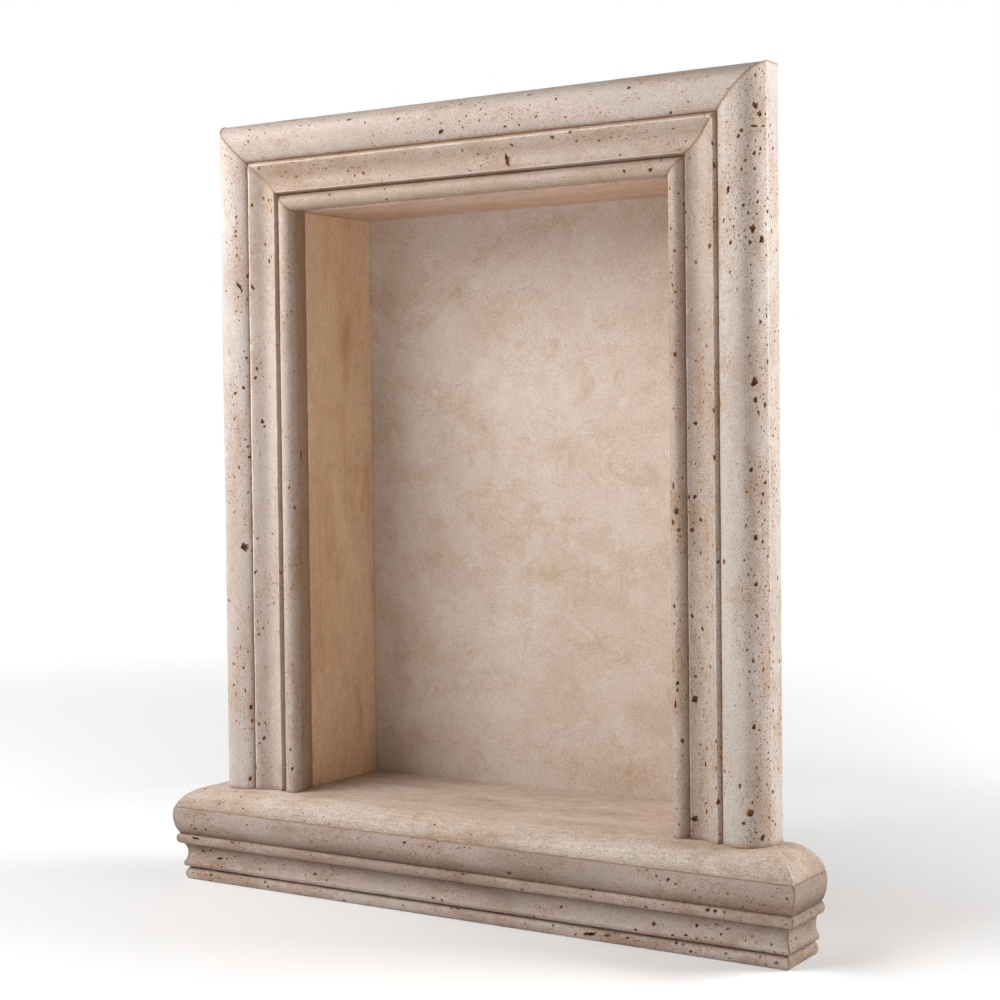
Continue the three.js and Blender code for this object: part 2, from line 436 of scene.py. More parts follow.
class Stone:
    """One stone whose surface is unrolled flat, across its section and along its length."""

    def __init__(self, name, axis, columns, seed, along_step=ALONG_STEP):
        self.name = name
        self.along_step = along_step
        self.axis = axis
        self.columns = columns
        self.edges = [column.across for column in columns]
        self.shift = Vector((seed * 37.7, seed * 11.3, seed * 23.9))
        self.rng = random.Random(seed)
        self.pits = PitMap()
        self.creases = [column for column in columns if column.arris]
        self.bands = ()
        self.clusters = ()
        self.end_stain = (0.0, 0.0)
        self.flipped = self.faces_in()

    def column_at(self, across):
        """The two columns round a place across, and how far it lies between them."""
        i = min(max(bisect.bisect_right(self.edges, across) - 1, 0), len(self.edges) - 2)
        a, b = self.columns[i], self.columns[i + 1]
        span = b.across - a.across
        t = min(max((across - a.across) / span, 0.0), 1.0) if span > 1e-9 else 0.0
        return a, b, t

    def section(self, across):
        """Point and normal of the section at a place across, and what column_at gives."""
        a, b, t = self.column_at(across)
        point = a.point.lerp(b.point, t)
        normal = a.normal.lerp(b.normal, t).normalized()
        return point, normal, a, b, t

    def lift(self, pair, along):
        """A section's two coordinates and a place along the axis, as a point in space."""
        values = list(pair)
        values.insert(self.axis, along)
        return Vector(values)

    def faces_in(self):
        """Whether across and along turn the wrong way round for a face that looks outward."""
        a, b = self.columns[0], self.columns[1]
        across = self.lift(b.point - a.point, 0.0)
        along = self.lift((0.0, 0.0), 1.0)
        outward = self.lift((a.normal + b.normal) / 2, 0.0)
        return across.cross(along).dot(outward) < 0

    def limits(self, across):
        """Where the stone starts and ends at a place across."""
        a, b, t = self.column_at(across)
        return a.near + (b.near - a.near) * t, a.far + (b.far - a.far) * t

    def porosity(self, across, along):
        """How open the stone is, from 0 to about 1, in bands that run along the grain."""
        point = self.lift(self.section(across)[0], along)
        bedded = self.lift((1.0, 1.0), BED_ALONG) * point
        value = 0.45 + 0.85 * noise.noise(bedded / BED + self.shift)
        value += 0.4 * noise.noise(bedded / FINE_BED + self.shift)
        for middle, half, gain in self.bands:
            value += gain * math.exp(-((across - middle) / half) ** 2)
        for middle, height, reach, gain in self.clusters:
            away = math.hypot(across - middle, (along - height) * 0.6)
            value += gain * math.exp(-(away / reach) ** 2)
        return min(max(value, 0.0), 1.0)

    def fits(self, pit, gap=0.2):
        """Whether a pit stays clear of the ends, the seam, the arrises and other pits."""
        reach = pit.reach + 0.5
        if pit.across - reach < self.edges[0] or pit.across + reach > self.edges[-1]:
            return False
        for across in (pit.across - reach, pit.across, pit.across + reach):
            near, far = self.limits(across)
            if not near + reach + 1 < pit.along < far - reach - 1:
                return False
        if pit.size < ARRIS_PIT:
            for column in self.creases:
                if column.wear > 0 and abs(column.across - pit.across) < pit.reach + 0.25:
                    return False
        return self.pits.is_clear(pit, gap)

    def place_pits(self, cavities):
        """Pits where they are seen: places across and along, lengths, widths and turns."""
        for across, along, length, width, turn in cavities:
            pit = make_pit(self.rng, across, along, length, width, math.radians(turn))
            if self.fits(pit, -0.4):
                self.add_cavity(pit)

    def add_cavity(self, pit):
        """A pit, with smaller ones over its rim where it is large enough to show them."""
        self.pits.add(pit)
        if pit.size < BITTEN_PIT:
            return
        for _ in range(2 if pit.size < SMALL_PIT else 4):
            across, along = pit_point(pit, self.rng.uniform(0, math.tau), 0.95)
            share = self.rng.uniform(0.3, 0.6)
            length, width = 2 * pit.half[1] * share, 2 * pit.half[0] * share
            bite = make_pit(self.rng, across, along, length, width, self.rng.uniform(-0.6, 0.6))
            if self.fits(bite, OVERLAP):
                self.pits.add(bite)

    def scatter(self, count, smallest=0.36, largest=1.2, steepness=3.0, threshold=0.42):
        """Random pits, more of them and larger where the stone is open."""
        rng = self.rng
        low, high = self.edges[0], self.edges[-1]
        lows = min(column.near for column in self.columns)
        highs = max(column.far for column in self.columns)
        made = 0
        for _ in range(count * TRIES):
            if made >= count:
                break
            across, along = rng.uniform(low, high), rng.uniform(lows, highs)
            chance, luck = rng.random(), rng.random()
            a, b, _ = self.column_at(across)
            if a.wave + b.wave < 1 and chance > HIDDEN_CHANCE:
                continue
            openness = self.porosity(across, along)
            if openness < threshold * (0.55 + 0.9 * chance):
                continue
            radius = smallest * (1 - luck * 0.995) ** (-1 / steepness)
            radius = min(radius * (0.7 + 0.5 * openness), largest)
            is_round = rng.random() < ROUND_SHARE
            stretch = rng.uniform(1.0, 1.8) if is_round else rng.uniform(2.2, 5.0)
            length, width = 2 * radius * stretch ** 0.5, 2 * radius / stretch ** 0.5
            pit = make_pit(rng, across, along, length, width, turn=rng.gauss(0.0, 0.45))
            if self.fits(pit):
                self.add_cavity(pit)
                made += 1

    def openness(self, across, along):
        """The stone's porosity, raised round each large cavity, where it is stained."""
        value = self.porosity(across, along)
        for pit in self.pits.near(across, along):
            if pit.size > STAINED_PIT:
                value = max(value, 1.3 - 0.45 * pit_share(pit, across, along))
        return min(value, 1.0)

    def relief(self, across, along, a, b, t):
        """Height of the surface over the plain section, and the depth of any pit there."""
        point = self.lift(a.point.lerp(b.point, t), along)
        near, far = self.limits(across)
        room = min(along - near, far - along)
        fade = min(max(room / END_FADE, 0.0), 1.0)
        wave = a.wave + (b.wave - a.wave) * t
        height = noise.noise(point / WAVE_LENGTH + self.shift) * WAVE * 1.4
        height += noise.noise(point / RIPPLE_LENGTH + self.shift) * WAVE * 0.5
        height *= fade * wave
        wear = (a.wear + (b.wear - a.wear) * t) * fade
        if wear > 0:
            chips = noise.noise(point / CHIP_LENGTH - self.shift)
            chips += 0.6 * noise.noise(point / FINE_CHIP_LENGTH)
            height -= wear * max(0.7 + 1.1 * chips, 0.1)
        depth = 0.0
        for pit in self.pits.near(across, along):
            share = pit_share(pit, across, along)
            if share < 0.999:
                rough = 1 + 0.3 * noise.noise(point / max(pit.size * 0.7, 0.3))
                depth = max(depth, pit_depth(pit, share) * rough)
        return height - depth, depth

    def outline(self):
        """The boundary of the flat surface, as points in order."""
        first, last = self.columns[0], self.columns[-1]
        near = [(column.across, column.near) for column in self.columns]
        far = [(column.across, column.far) for column in reversed(self.columns)]
        right = [(last.across, along) for along in self.rows(last.near, last.far)]
        left = [(first.across, along) for along in reversed(self.rows(first.near, first.far))]
        return [*near, *right, *far, *left]

    def rows(self, near, far):
        """Places of the rows between two ends."""
        margin = 0.4 * self.along_step
        first = math.ceil((near + margin) / self.along_step)
        last = math.floor((far - margin) / self.along_step)
        return [i * self.along_step for i in range(first, last + 1)]

    def plan(self):
        """Points and edges of the flat surface, for its triangles."""
        index = {}
        points = []
        edges = []

        def number(across, along):
            key = (round(across, 4), round(along, 4))
            if key not in index:
                index[key] = len(points)
                points.append((across, along))
            return index[key]

        border = [number(*point) for point in self.outline()]
        edges += [(a, b) for a, b in zip(border, border[1:] + border[:1]) if a != b]
        for column in self.columns[1:-1]:
            rows = self.rows(column.near, column.far)
            if column.crease:
                chain = [number(column.across, along) for along in [column.near, *rows, column.far]]
                edges += [(a, b) for a, b in zip(chain, chain[1:]) if a != b]
                continue
            for along in rows:
                if column.hidden and round(along / self.along_step) % HIDDEN_ROWS:
                    continue
                if all(self.is_outside(pit, column.across, along)
                       for pit in self.pits.near(column.across, along)):
                    number(column.across, along)
        for pit in self.pits.pits:
            self.add_rings(pit, number, edges)
        return points, edges

    def is_outside(self, pit, across, along):
        """Whether a place is far enough from a pit's rim for a point of its own."""
        away = math.hypot(across - pit.across, along - pit.along)
        return away > pit.reach + 0.4 or pit_share(pit, across, along) > 1 + 0.45 / pit.size

    def add_rings(self, pit, number, edges):
        """Adds the rings of a pit, with its rim as edges."""
        for share, _ in pit.rings:
            if share == 0.0:
                number(pit.across, pit.along)
                continue
            angles = [pit.start + math.tau * i / pit.steps for i in range(pit.steps)]
            ring = [number(*pit_point(pit, angle, share)) for angle in angles]
            if share == 1.0:
                edges += [(a, b) for a, b in zip(ring, ring[1:] + ring[:1]) if a != b]

    def surface(self):
        """Corners in space, each with its pit, openness and edge values, and triangles."""
        points, edges = self.plan()
        flat, _, triangles, *_ = delaunay_2d_cdt([Vector(p) for p in points], edges, [], 0, 1e-5)
        corners = []
        for across, along in flat:
            point, normal, a, b, t = self.section(across)
            height, depth = self.relief(across, along, a, b, t)
            edge = a.edge + (b.edge - a.edge) * t
            near, far = self.limits(across)
            for away, stain in zip((along - near, far - along), self.end_stain):
                if away < 0.01:
                    edge = min(edge, -stain)
            values = (min(depth / PIT_DARKEST, 1.0), self.openness(across, along), edge)
            corners.append((self.lift(point + normal * height, along), values))
        faces = []
        for a, b, c in triangles:
            across = (flat[a].x + flat[b].x + flat[c].x) / 3
            along = (flat[a].y + flat[b].y + flat[c].y) / 3
            near, far = self.limits(across)
            if near - 1e-4 < along < far + 1e-4:
                faces.append([a, c, b] if self.flipped else [a, b, c])
        return corners, faces


def joined(parts):
    """Surfaces of one stone as one, with the corners that they share merged."""
    corners, values, faces = [], [], []
    place = {}
    for part_corners, part_faces in parts:
        index = []
        for corner, here in part_corners:
            key = tuple(round(value, 3) for value in corner)
            if key not in place:
                place[key] = len(corners)
                corners.append(corner)
                values.append(here)
            index.append(place[key])
        for face in part_faces:
            ids = [index[i] for i in face]
            if len(set(ids)) == 3:
                faces.append(ids)
    return corners, values, faces


def close_ends(corners, faces, planes):
    """Flat faces over the open edges that lie in each plane, given by a normal and a point."""
    used = {(a, b) for face in faces for a, b in zip(face, face[1:] + face[:1])}
    for normal, point in planes:
        onward = {}
        for a, b in used:
            if (b, a) in used:
                continue
            if all(abs(normal.dot(corners[i] - point)) < 0.02 for i in (a, b)):
                onward[b] = a
        while onward:
            starts = set(onward) - set(onward.values())
            here = min(starts or onward)
            chain = [here]
            while here in onward:
                here = onward.pop(here)
                if here == chain[0]:
                    break
                chain.append(here)
            if len(chain) > 2:
                faces.append(chain)
    return faces


def add_object(name, data):
    made = bpy.data.objects.new(name, data)
    bpy.context.scene.collection.objects.link(made)
    return made


def finish_piece(name, surface, planes, node, material):
    """A piece of stone that stands for a CAD node, closed at its ends, with its finish."""
    corners, values, faces = surface
    faces = close_ends(corners, faces, planes)
    mesh = bpy.data.meshes.new(name)
    mesh.from_pydata([corner / METRE for corner in corners], [], faces)
    for attribute, column in zip(("pit", "open", "edge"), zip(*values)):
        layer = mesh.attributes.new(attribute, "FLOAT", "POINT")
        layer.data.foreach_set("value", column)
    mesh.polygons.foreach_set("use_smooth", [True] * len(mesh.polygons))
    mesh.set_sharp_from_angle(angle=SHARP_ANGLE)
    mesh.materials.append(material)
    piece = add_object(name, mesh)
    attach(piece, "root")
    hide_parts(node)


# Finishes

def colour(code):
    """A colour from its hexadecimal code, as linear light."""
    values = [int(code[i:i + 2], 16) / 255 for i in (0, 2, 4)]
    linear = [v / 12.92 if v <= 0.04045 else ((v + 0.055) / 1.055) ** 2.4 for v in values]
    return (*linear, 1.0)


def stop_colour(shade):
    """A ramp's colour from a code, three values or one grey value."""
    if isinstance(shade, str):
        return colour(shade)
    if isinstance(shade, tuple):
        return (*shade, 1.0)
    return (shade, shade, shade, 1.0)


class Finish:
    """A material whose nodes are added one by one."""

    def __init__(self, name):
        self.material = bpy.data.materials.new(name)
        self.material.use_nodes = True
        self.tree = self.material.node_tree
        self.shader = self.tree.nodes["Principled BSDF"]
        self.coords = self.node("ShaderNodeTexCoord").outputs["Object"]

    def node(self, kind, inputs=None, **settings):
        """A new node, with its settings and what goes into its sockets."""
        made = self.tree.nodes.new(kind)
        for key, value in settings.items():
            setattr(made, key, value)
        for key, value in (inputs or {}).items():
            self.feed(made.inputs[key], value)
        return made

    def feed(self, socket, value):
        """Links a socket to another one's output, or sets its value."""
        if isinstance(value, bpy.types.NodeSocket):
            self.tree.links.new(value, socket)
        else:
            socket.default_value = value

    def stretched(self, offset, scale):
        mapping = self.node("ShaderNodeMapping", {"Vector": self.coords})
        mapping.inputs["Location"].default_value = offset
        mapping.inputs["Scale"].default_value = scale
        return mapping.outputs["Vector"]

    def noise(self, vector, scale, detail=4.0, roughness=0.55, distortion=0.0):
        made = self.node("ShaderNodeTexNoise", {
            "Vector": vector, "Scale": scale, "Detail": detail, "Roughness": roughness,
            "Distortion": distortion})
        return made.outputs["Fac"]

    def ramp(self, value, stops):
        """A ramp through stops of (place, shade)."""
        made = self.node("ShaderNodeValToRGB", {"Fac": value})
        elements = made.color_ramp.elements
        while len(elements) < len(stops):
            elements.new(0.5)
        for element, (place, shade) in zip(elements, stops):
            element.position = place
            element.color = stop_colour(shade)
        return made.outputs["Color"]

    def mix(self, factor, a, b, blend="MIX"):
        """Two colours mixed. The node's kinds of socket share names, so they go by number."""
        made = self.node("ShaderNodeMix", data_type="RGBA", blend_type=blend)
        self.feed(made.inputs[0], factor)
        self.feed(made.inputs[6], colour(a) if isinstance(a, str) else a)
        self.feed(made.inputs[7], colour(b) if isinstance(b, str) else b)
        return made.outputs[2]

    def maths(self, operation, a, b=0.0):
        made = self.node("ShaderNodeMath", operation=operation)
        self.feed(made.inputs[0], a)
        self.feed(made.inputs[1], b)
        return made.outputs[0]

    def attribute(self, name):
        return self.node("ShaderNodeAttribute", attribute_name=name).outputs["Fac"]


# How the stone darkens toward its hollows, its stained places, its cut ends and its faces turned
# away: mostly painted shade with some dirt, brown on the frame and grey on the other stones
BROWN_SHADE_AND_DIRT = ((0.03, 1.0), (0.5, (0.84, 0.75, 0.66)), (0.8, (0.68, 0.52, 0.38)),
                 (1.0, (0.44, 0.32, 0.23)))
GREY_SHADE_AND_DIRT = ((0.03, 1.0), (0.5, (0.8, 0.77, 0.74)), (0.8, (0.6, 0.55, 0.5)),
                (1.0, (0.4, 0.33, 0.28)))


def travertine(name, light, middle, dark, stain, grain, offset, contrast=1.0, pinholes=0.7,
               curls=0.0, patches=0.3, tan=0.3, grit=0.9, streaks=0.0, arris=0.0,
               hollows=BROWN_SHADE_AND_DIRT, roughness=(0.5, 0.72)):
    """Travertine with cloudy beds, fine grain along its bedding, tan stains and pinholes.

    light, middle, dark and stain are its colours, from the palest bed to the tan stains.
    grain is the scale of the pattern on each axis, smallest along the bedding, and offset
    its place. arris is how strong the painted highlight on the arrises is, and hollows is the
    ramp of painted shade with some dirt toward the hollows. The rest say how strong each marking
    is, from 0 to about 1.
    """
    finish = Finish(name)
    bedded = finish.stretched(offset, grain)
    even = finish.stretched(offset, (1.0, 1.0, 1.0))

    # Cloudy beds and a fine mottle
    spread = 0.17 / contrast
    clouds = finish.noise(bedded, 16.0, 6.0, 0.6, 0.7)
    base = finish.ramp(clouds, [(0.5 - spread, dark), (0.5, middle), (0.5 + spread, light)])
    mottle = finish.noise(even, 120.0, 4.0, 0.62, 0.4)
    mottled = finish.ramp(mottle, [(0.34, (0.82, 0.8, 0.78)), (0.5, 1.0), (0.68, 1.06)])
    base = finish.mix(0.3, base, mottled, "MULTIPLY")

    # Pale patches, tan stains and curled veins
    if patches:
        field = finish.noise(even, 30.0, 4.0, 0.6, 1.2)
        factor = finish.ramp(field, [(0.56, 0.0), (0.66, patches)])
        base = finish.mix(factor, base, light)
    if tan:
        field = finish.noise(even, 24.0, 6.0, 0.68, 0.9)
        factor = finish.ramp(field, [(0.55, 0.0), (0.66, tan)])
        base = finish.mix(factor, base, stain)
    if curls:
        field = finish.noise(even, 38.0, 3.0, 0.5, 2.8)
        line = finish.ramp(field, [(0.47, 0.0), (0.5, curls), (0.515, curls * 0.6), (0.55, 0.0)])
        where = finish.ramp(finish.noise(even, 13.0, 2.0), [(0.45, 0.0), (0.6, 1.0)])
        base = finish.mix(finish.maths("MULTIPLY", line, where), base, dark)

    # Stain where the stone is open, fibres along the bedding and sandy grain
    openness = finish.ramp(finish.attribute("open"), [(0.4, 0.0), (1.0, 0.6)])
    blotch = finish.ramp(finish.noise(bedded, 70.0, 4.0, 0.6, 0.5), [(0.4, 0.0), (0.62, 1.0)])
    base = finish.mix(finish.maths("MULTIPLY", openness, blotch), base, stain)
    if streaks:
        fibres = finish.noise(bedded, 520.0, 3.0, 0.7)
        lined = finish.ramp(fibres, [(0.36, (0.8, 0.76, 0.72)), (0.5, 1.0), (0.64, 1.14)])
        base = finish.mix(streaks, base, lined, "MULTIPLY")
    sand = finish.noise(even, 1050.0, 2.0, 0.8)
    sandy = finish.ramp(sand, [(0.33, (0.62, 0.46, 0.32)), (0.45, (0.95, 0.91, 0.86)),
                               (0.55, 1.04), (0.7, 1.26)])
    rough = finish.ramp(finish.attribute("open"), [(0.15, 0.7 * grit), (0.8, grit)])
    base = finish.mix(rough, base, sandy, "MULTIPLY")

    # Pinholes, too small for the mesh
    cells = finish.node("ShaderNodeTexVoronoi", {"Vector": bedded, "Scale": 560.0})
    dots = finish.ramp(cells.outputs["Distance"], [(0.15, 1.0), (0.27, 0.0)])
    chance = finish.ramp(cells.outputs["Color"], [(0.46, 0.0), (0.5, 1.0)])
    region = finish.ramp(finish.noise(even, 60.0, 3.0), [(0.45, 0.05), (0.6, 1.0)])
    dots = finish.maths("MULTIPLY", finish.maths("MULTIPLY", dots, chance), region)
    base = finish.mix(finish.maths("MULTIPLY", dots, pinholes), base, "84603f")

    # Painted highlight on the arrises, painted shade with some dirt toward the hollows, and brown
    # pits
    edge = finish.attribute("edge")
    # Painted highlight: the stone is lightened along its arrises
    if arris:
        base = finish.mix(finish.ramp(edge, [(0.2, 0.0), (0.9, arris)]), base, "f4e6d4")
    # Painted shade with some dirt toward the hollows, the stained places and the cut ends
    painted_shade_and_dirt = finish.ramp(finish.maths("MULTIPLY", edge, -1.0), hollows)
    base = finish.mix(1.0, base, painted_shade_and_dirt, "MULTIPLY")
    pit = finish.attribute("pit")
    inside = finish.ramp(pit, [(0.0, "c6a383"), (0.15, "a97e58"), (0.45, "8a6443"),
                               (1.0, "6e513a")])
    base = finish.mix(finish.ramp(pit, [(0.005, 0.0), (0.06, 1.0)]), base, inside)
    finish.feed(finish.shader.inputs["Base Color"], base)

    # Gloss, and the relief of the grain and the pinholes
    sheen = finish.ramp(mottle, [(0.35, roughness[1]), (0.65, roughness[0])])
    finish.feed(finish.shader.inputs["Roughness"], sheen)
    finish.shader.inputs["Specular IOR Level"].default_value = 0.35
    height = finish.maths("SUBTRACT", finish.maths("MULTIPLY", sand, 0.5), dots)
    bump = finish.node("ShaderNodeBump", {"Height": height, "Strength": 0.45,
                                          "Distance": 0.0004})
    finish.feed(finish.shader.inputs["Normal"], bump.outputs["Normal"])
    return finish.material


def grout(name, light, dark):
    """Sandy joint filler."""
    finish = Finish(name)
    grains = finish.noise(finish.coords, 900.0, 4.0, 0.7)
    sandy = finish.ramp(grains, [(0.35, dark), (0.65, light)])
    finish.feed(finish.shader.inputs["Base Color"], sandy)
    finish.shader.inputs["Roughness"].default_value = 0.9
    bump = finish.node("ShaderNodeBump", {"Height": grains, "Strength": 0.5, "Distance": 0.0003})
    finish.feed(finish.shader.inputs["Normal"], bump.outputs["Normal"])
    return finish.material


finishes = {
    "frame_left": travertine(
        "frame_left_stone", "c6bfbc", "bdb3ad", "b1a094", "a88b74", (1.0, 1.0, 0.22),
        (3.1, 0.4, 1.7), contrast=0.8, grit=0.8, arris=0.4),
    "frame_right": travertine(
        "frame_right_stone", "bcb5af", "b2a79e", "a29187", "9b7d63", (1.0, 1.0, 0.22),
        (0.0, 0.0, 0.0), contrast=0.6, grit=1.0, arris=0.25),
    "frame_top": travertine(
        "frame_head_stone", "b5a9a2", "ac9f95", "9f8c7e", "997e66", (0.22, 1.0, 1.0),
        (7.1, 5.2, 2.2), contrast=0.7, arris=0.3),
    "sill": travertine(
        "sill_stone", "b7aba3", "aa9c93", "968679", "907058", (0.3, 1.0, 1.0), (1.4, 8.8, 6.1),
        hollows=GREY_SHADE_AND_DIRT),
    # The returns are the sill's stone made darker: painted shade on ends that the side lamp lights
    # strongly
    "sill_end": travertine(
        "sill_end_stone", "9b8d80", "928275", "837062", "795e47", (1.0, 0.3, 1.0),
        (4.7, 2.8, 9.3), hollows=GREY_SHADE_AND_DIRT),
    "slab": travertine(
        "slab_stone", "cfc6bd", "c2b4a9", "b29c87", "a48669", (0.18, 1.0, 1.0), (6.2, 1.9, 4.4),
        pinholes=0.6, grit=1.4, streaks=0.6, hollows=GREY_SHADE_AND_DIRT),
    "side": travertine(
        "honed_side_stone", "e3c7a8", "dbbc9c", "cba482", "bc8c65", (1.0, 1.0, 0.3),
        (2.2, 6.3, 0.8), hollows=GREY_SHADE_AND_DIRT, contrast=0.8, pinholes=0.2, grit=0.5, streaks=0.4,
        roughness=(0.38, 0.55)),
    "ceiling": travertine(
        "honed_ceiling_stone", "d6bdb2", "caaf9c", "b89680", "ab7f61", (0.15, 1.0, 1.0),
        (9.2, 3.3, 5.8), hollows=GREY_SHADE_AND_DIRT, contrast=0.8, pinholes=0.3, grit=0.65, streaks=0.7,
        roughness=(0.38, 0.55)),
    "back": travertine(
        "honed_back_stone", "c7bbb1", "c1b1a5", "b8a393", "af967d", (1.0, 1.0, 1.0),
        (5.5, 0.9, 3.6), hollows=GREY_SHADE_AND_DIRT, contrast=0.8, pinholes=0.3, curls=0.6,
        patches=0.65, tan=0.55, grit=0.65, roughness=(0.36, 0.52)),
    "joint": grout("joint_filler", "b08f70", "8a6a4d"),
}


# Moulded stones

def end_planes(stone):
    """The planes that cut off a stone at its two ends."""
    planes = []
    for end in ("near", "far"):
        spread = sorted(stone.columns, key=lambda column: getattr(column, end))
        a, c = spread[0], spread[-1]
        tilted = getattr(c, end) - getattr(a, end) > 0.01
        if not tilted:
            planes.append((stone.lift((0.0, 0.0), 1.0), stone.lift(a.point, getattr(a, end))))
            continue
        points = [stone.lift(column.point, getattr(column, end)) for column in (a, c)]
        sideways = max(
            (stone.lift(column.point, getattr(column, end)) - points[0] for column in stone.columns),
            key=lambda reach: (points[1] - points[0]).cross(reach).length)
        planes.append(((points[1] - points[0]).cross(sideways).normalized(), points[0]))
    return planes


def moulded_stone(name, node, axis, first, forward, hides, seed):
    """A stone that follows its CAD node.

    Its section starts at the corner where first(corner) is largest, and goes on toward the
    neighbour where forward(corner) is larger.
    """
    points, near, far = moulded_section(node, axis, first, forward)
    return Stone(name, axis, columns_round(points, near, far, hides), seed)


def stain_and_shade(columns, profile):
    """Lowers the edge value of columns to a profile of places across and amounts: stain and painted
    shade.
    """
    for column in columns:
        for (start, low), (end, high) in zip(profile, profile[1:]):
            if start <= column.across <= end:
                amount = low + (high - low) * (column.across - start) / (end - start)
                column.edge = min(column.edge, -amount) if amount > 0 else column.edge


def carve(stone, node, material, count, stain, bands, clusters=(), cavities=(),
          end_stain=(END_STAIN, END_STAIN)):
    """Darkens a moulded stone with stain and painted shade, opens its pits and makes it a piece."""
    stain_and_shade(stone.columns, stain)
    stone.bands = bands
    stone.clusters = clusters
    stone.end_stain = end_stain
    stone.place_pits(cavities)
    stone.scatter(count)
    finish_piece(stone.name, joined([stone.surface()]), end_planes(stone), node,
                 finishes[material])


# The frame: two jambs and a head. Each cavity that stands out is given as its place across the
# section from the outer back edge, its place along, its length, its width and its turn.

RIGHT_JAMB_CAVITIES = (
    (28.5, 550, 4.8, 3.2, -25), (25, 544.5, 3.6, 4.0, 60), (38.5, 533, 3.0, 2.6, 0),
    (29.5, 536, 1.7, 4.8, 0), (22, 536.5, 1.5, 3.0, 0), (24.5, 521, 2.6, 2.2, 30),
    (29.5, 518, 3.2, 2.0, 50), (36, 513, 2.6, 1.8, 30), (64, 512, 4.2, 2.2, 0),
    (49, 494, 4.6, 2.2, -10), (31, 467, 4.4, 3.6, 10), (24, 460, 5.2, 3.0, 0),
    (69, 457, 3.4, 2.8, 0), (107, 384, 3.2, 2.4, 0), (31, 363, 5.4, 4.2, 20),
    (30, 351, 4.0, 3.0, 0), (22, 348, 3.2, 2.6, 0), (59.5, 350, 5.0, 2.4, 0),
    (66, 344.5, 3.4, 2.6, 0), (85, 336, 3.0, 2.4, 0), (65.5, 312, 4.0, 2.4, 0),
    (33.5, 304, 3.0, 2.6, 0), (109.5, 293, 5.0, 1.8, 4), (90.5, 285, 2.8, 2.6, 0),
    (86, 285, 2.8, 2.6, 0), (107, 275, 5.2, 3.0, 12), (110.5, 267, 4.6, 2.4, -8),
    (105.5, 262, 3.4, 2.6, 0), (88, 262, 3.0, 2.6, 0),
    (30.5, 258, 3.4, 3.0, 0), (55.5, 241, 3.2, 2.4, 0), (30.5, 226, 3.0, 2.6, 0),
    (107.5, 155, 2.9, 2.7, 0), (107.5, 150, 2.7, 2.6, 0), (87, 144, 4.6, 3.6, 20),
    (109.5, 140, 5.0, 1.9, 5), (33, 129, 3.6, 2.6, 0), (104, 114.5, 3.0, 2.4, 0),
    (16.5, 83, 3.0, 2.6, 0), (65, 75, 4.4, 2.6, 0), (35.5, 70, 4.8, 4.4, 0),
    (88, 60.5, 3.6, 4.2, 0), (27, 53, 4.0, 3.0, 30))
LEFT_JAMB_CAVITIES = (
    (69.5, 514.5, 3.0, 2.0, 0), (78.5, 520, 2.6, 2.0, 0), (79.5, 483.5, 2.6, 2.0, 0),
    (53.5, 450, 8.5, 1.7, 35), (61, 459, 5.0, 2.2, -12), (69, 449, 4.6, 2.0, 32),
    (60, 440, 2.4, 1.8, 0), (58.5, 393, 2.6, 2.2, 0),
    (71.5, 384, 3.0, 2.0, 0), (70, 377, 2.8, 2.4, 0), (56, 369, 2.8, 2.4, 0),
    (75, 342, 3.2, 2.2, 0), (77, 338, 2.2, 2.0, 0), (127, 314, 8.0, 2.4, 0),
    (116.5, 273, 3.2, 2.2, 0), (54.5, 241, 5.6, 5.0, 30), (58, 112, 3.8, 2.8, 0),
    (59, 101, 2.8, 2.4, 0), (73, 87.5, 2.6, 2.4, 0), (56.5, 54, 3.4, 2.6, 0))
HEAD_CAVITIES = (
    (35, -102, 3.6, 2.2, 0), (53, -17, 4.4, 2.6, 10), (60, -27, 3.0, 2.0, 0),
    (82, -95, 3.0, 2.2, 0), (114, -72, 3.2, 2.2, 0), (32.5, 0, 2.8, 2.0, 0),
    (32, 59, 3.2, 2.2, 0), (37, 142, 2.8, 2.2, 0), (84, 36, 2.6, 10.5, 20),
    (69.5, 77.5, 3.2, 2.4, 0), (109.5, 156, 3.2, 2.4, 0))

# Painted shade with some brown stain on the frame's section, on the bead's flank by the groove
# and on the lip's inner face: places across, and how dark the stone is there
FRAME_SHADE_AND_STAIN = ((91.5, 0.0), (94.0, 0.45), (99.0, 0.6), (104.0, 0.25), (108.0, 0.0), (117.0, 0.0),
               (122.0, 0.65), (142.0, 0.8))

# Bands of open stone: the middle across, the half width, and how much more open it is
RIGHT_JAMB_BANDS = ((24, 11, 0.2), (46, 9, -0.12), (62, 4, 0.25), (106, 9, 0.3), (8, 8, -0.12))
LEFT_JAMB_BANDS = ((62, 5, 0.22), (99, 5, 0.25), (35, 16, -0.1))
HEAD_BANDS = ((40, 25, -0.12), (63, 5, 0.2), (80, 12, -0.05))

# Clusters of pits: the middle across and along, the reach, and how much more open it is
RIGHT_JAMB_CLUSTERS = (
    (27, 540, 12, 0.5), (26, 462, 12, 0.5), (29, 355, 13, 0.5), (31, 235, 16, 0.4),
    (105, 266, 13, 1.0), (107, 146, 11, 0.6), (62, 345, 8, 0.4), (88, 275, 7, 0.4),
    (25, 60, 12, 0.4))
LEFT_JAMB_CLUSTERS = (
    (56, 442, 11, 0.6), (62, 385, 9, 0.45), (60, 490, 10, 0.4), (57, 110, 10, 0.4),
    (100, 420, 9, 0.4), (58, 245, 9, 0.4))
HEAD_CLUSTERS = (
    (62, -118, 12, 0.6), (30, -205, 14, 0.4), (30, -60, 12, 0.35), (88, 20, 14, 0.35),
    (30, 150, 12, 0.4))


def is_back_of_jamb(point, facing):
    return facing.y > 0.9


def is_back_of_head(point, facing):
    return facing.x > 0.9


